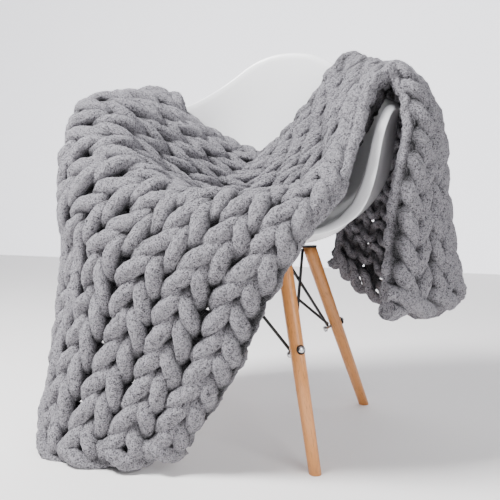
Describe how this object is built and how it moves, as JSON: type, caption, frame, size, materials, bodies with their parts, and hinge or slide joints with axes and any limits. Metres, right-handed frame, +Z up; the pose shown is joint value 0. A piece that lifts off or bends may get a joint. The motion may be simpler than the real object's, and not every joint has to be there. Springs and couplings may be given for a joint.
{
  "type": "chunky knit blanket on a shell chair",
  "caption": "Chunky chenille knit blanket draped over a moulded shell armchair on splayed wooden legs, with one end down to the floor in front.",
  "frame": {"origin": "middle of the whole object's footprint, on the floor", "axes": "+Z up, the chair's front faces -Y, its right arm seen from the front is at +X"},
  "size_m": [0.8442, 0.7028, 0.858],
  "materials": {
    "chenille_yarn": "fuzzy grey chenille",
    "white_plastic": "glossy white",
    "beech": "satin varnish",
    "black_steel": "satin black",
    "bright_steel": "bright",
    "black_rubber": "matte"
  },
  "bodies": {
    "root": {"blanket": "chenille_yarn", "shell": "white_plastic", "seat_plate": "black_steel", "leg_front_right": "beech", "bolt_front_right": "bright_steel", "washer_front_right": "black_rubber", "mount_front_right": "black_rubber", "leg_rear_right": "beech", "bolt_rear_right": "bright_steel", "washer_rear_right": "black_rubber", "mount_rear_right": "black_rubber", "leg_rear_left": "beech", "bolt_rear_left": "bright_steel", "washer_rear_left": "black_rubber", "mount_rear_left": "black_rubber", "leg_front_left": "beech", "bolt_front_left": "bright_steel", "washer_front_left": "black_rubber", "mount_front_left": "black_rubber", "rod_front_right_to_rear_right": "black_steel", "rod_rear_right_to_front_right": "black_steel", "rod_rear_right_to_rear_left": "black_steel", "rod_rear_left_to_rear_right": "black_steel", "rod_rear_left_to_front_left": "black_steel", "rod_front_left_to_rear_left": "black_steel", "rod_front_left_to_front_right": "black_steel", "rod_front_right_to_front_left": "black_steel"}
  },
  "joints": []
}
